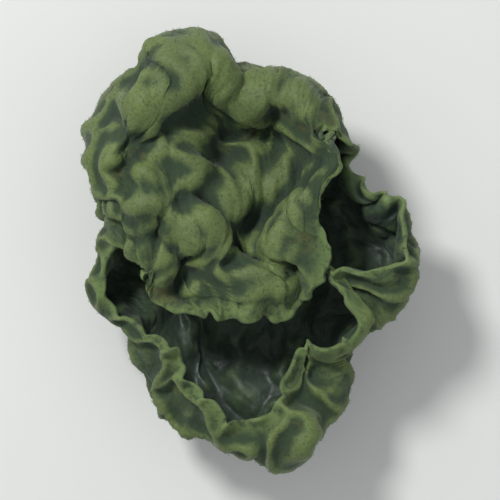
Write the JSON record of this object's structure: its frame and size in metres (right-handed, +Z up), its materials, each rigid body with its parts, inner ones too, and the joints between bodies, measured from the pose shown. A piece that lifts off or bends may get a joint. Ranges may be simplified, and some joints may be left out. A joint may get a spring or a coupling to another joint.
{
  "type": "dried wood ear mushroom",
  "caption": "One whole dried wood ear, a leathery fungus crumpled into a hooded, wrinkled cup, resting on its flat-cut stub.",
  "frame": {"origin": "middle of the stub, on its flat cut", "axes": "+Z up, away from the cut; +Y from the bowl's front lip towards the bulge at the back of the hood; +X towards the curled fin"},
  "size_m": [0.0282, 0.0371, 0.0154],
  "materials": {
    "dried_skin": "matte, finely felted and wrinkled, dark olive"
  },
  "bodies": {
    "root": {"wood_ear": "dried_skin"}
  },
  "joints": []
}
